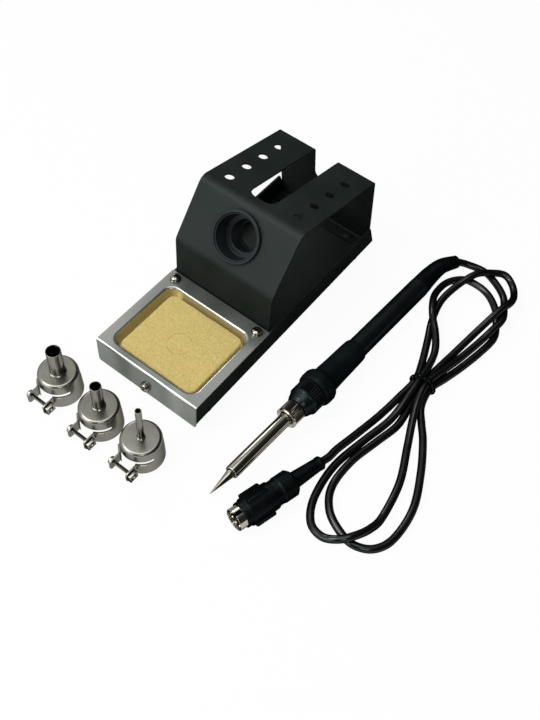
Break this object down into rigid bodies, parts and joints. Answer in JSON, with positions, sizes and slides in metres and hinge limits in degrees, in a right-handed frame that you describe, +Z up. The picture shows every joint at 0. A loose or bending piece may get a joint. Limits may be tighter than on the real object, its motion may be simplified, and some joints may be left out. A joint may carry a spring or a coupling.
{
  "type": "hot air rework station accessory set",
  "caption": "Soldering iron with its coiled cord and plug, black sheet metal iron stand with a sponge tray, and clamp-on hot air nozzles standing in a row.",
  "frame": {"origin": "on the table below the middle of the box of all but the cord and its plug", "axes": "+Z up, +Y from the sponge tray to the rear of the stand, +X from the stand towards the iron"},
  "size_m": [0.2057, 0.248, 0.0787],
  "materials": {
    "black_steel": "black powder coat with a fine texture",
    "tray_steel": "plain pressed sheet, satin",
    "polished_steel": "bright plated",
    "nozzle_steel": "bright nickel plate with soft reflections",
    "screw_steel": "nickel plated",
    "sponge_yellow": "pressed cellulose foam, pale yellow with darker specks",
    "handle_black": "satin black moulding",
    "rubber_black": "soft black rubber",
    "cord_black": "smooth, slightly glossy black sheath",
    "ceramic_white": "white fired ceramic",
    "board_green": "green board lacquer"
  },
  "bodies": {
    "stand_and_iron": {"base_channel": "black_steel", "upper_cover": "black_steel", "cover_rivet_1": "screw_steel", "cover_rivet_2": "screw_steel", "cover_rivet_3": "screw_steel", "cover_rivet_4": "screw_steel", "rubber_foot_1": "rubber_black", "rubber_foot_2": "rubber_black", "rubber_foot_3": "rubber_black", "rubber_foot_4": "rubber_black", "iron_rest_bush": "handle_black", "bush_retaining_ring": "handle_black", "sponge_tray": "tray_steel", "tray_screw_rear_left": "screw_steel", "tray_screw_rear_right": "screw_steel", "tray_screw_front": "screw_steel", "front_collar": "handle_black", "heating_element": "ceramic_white", "grip_sleeve": "handle_black", "handle_tube": "handle_black", "terminal_board": "board_green", "handle_strain_relief": "rubber_black", "iron_cord": "cord_black", "cord_tie": "rubber_black", "plug_shell": "polished_steel", "plug_insulator": "rubber_black", "plug_body": "rubber_black", "plug_strain_relief": "rubber_black", "plug_pin_1": "polished_steel", "plug_pin_2": "polished_steel", "plug_pin_3": "polished_steel", "plug_pin_4": "polished_steel", "plug_pin_5": "polished_steel"},
    "sponge": {"sponge": "sponge_yellow"},
    "tip_assembly": {"tip_tube": "polished_steel", "iron_tip": "polished_steel"},
    "tube_nut": {"tube_nut": "polished_steel"},
    "plug_collar": {"plug_collar": "handle_black"},
    "nozzle_large": {"nozzle_large_cup": "nozzle_steel", "nozzle_large_outlet": "nozzle_steel", "nozzle_large_clamp_nut": "screw_steel"},
    "nozzle_large_screw": {"nozzle_large_clamp_screw": "screw_steel"},
    "nozzle_medium": {"nozzle_medium_cup": "nozzle_steel", "nozzle_medium_outlet": "nozzle_steel", "nozzle_medium_clamp_nut": "screw_steel"},
    "nozzle_medium_screw": {"nozzle_medium_clamp_screw": "screw_steel"},
    "nozzle_small": {"nozzle_small_cup": "nozzle_steel", "nozzle_small_outlet": "nozzle_steel", "nozzle_small_clamp_nut": "screw_steel"},
    "nozzle_small_screw": {"nozzle_small_clamp_screw": "screw_steel"}
  },
  "joints": [
    {"name": "sponge_lift", "type": "slide", "parent": "stand_and_iron", "child": "sponge", "axis": [0, 0, 1], "range_m": [0, 0.04]},
    {"name": "nozzle_large_lift", "type": "slide", "parent": "stand_and_iron", "child": "nozzle_large", "axis": [0, 0, 1], "range_m": [0, 0.06]},
    {"name": "nozzle_large_screw_turn", "type": "hinge", "parent": "nozzle_large", "child": "nozzle_large_screw", "pos_m": [-0.05618, -0.1153, 0.0052], "axis": [-1, 0, 0], "range_deg": [-1080, 1080]},
    {"name": "nozzle_medium_lift", "type": "slide", "parent": "stand_and_iron", "child": "nozzle_medium", "axis": [0, 0, 1], "range_m": [0, 0.06]},
    {"name": "nozzle_medium_screw_turn", "type": "hinge", "parent": "nozzle_medium", "child": "nozzle_medium_screw", "pos_m": [-0.02467, -0.1172, 0.0052], "axis": [-1, 0, 0], "range_deg": [-1080, 1080]},
    {"name": "nozzle_small_lift", "type": "slide", "parent": "stand_and_iron", "child": "nozzle_small", "axis": [0, 0, 1], "range_m": [0, 0.06]},
    {"name": "nozzle_small_screw_turn", "type": "hinge", "parent": "nozzle_small", "child": "nozzle_small_screw", "pos_m": [0.00473, -0.1173, 0.0052], "axis": [-1, 0, 0], "range_deg": [-1080, 1080]},
    {"name": "tip_assembly_slide", "type": "slide", "parent": "stand_and_iron", "child": "tip_assembly", "axis": [-0.0449, -0.9981, 0.0426], "range_m": [0, 0.006]},
    {"name": "tube_nut_turn", "type": "hinge", "parent": "tip_assembly", "child": "tube_nut", "pos_m": [0.0542, -0.03962, 0.01168], "axis": [-0.0449, -0.9981, 0.0426], "range_deg": [0, 2161]},
    {"name": "plug_collar_slide", "type": "slide", "parent": "stand_and_iron", "child": "plug_collar", "axis": [0.2519, 0.9669, -0.0417], "range_m": [0, 0.003], "stiffness_N_per_m": 300}
  ],
  "couplings": [
    {"joint": "tube_nut_turn", "follows": "tip_assembly_slide", "rad_per_m": 6283.2}
  ]
}
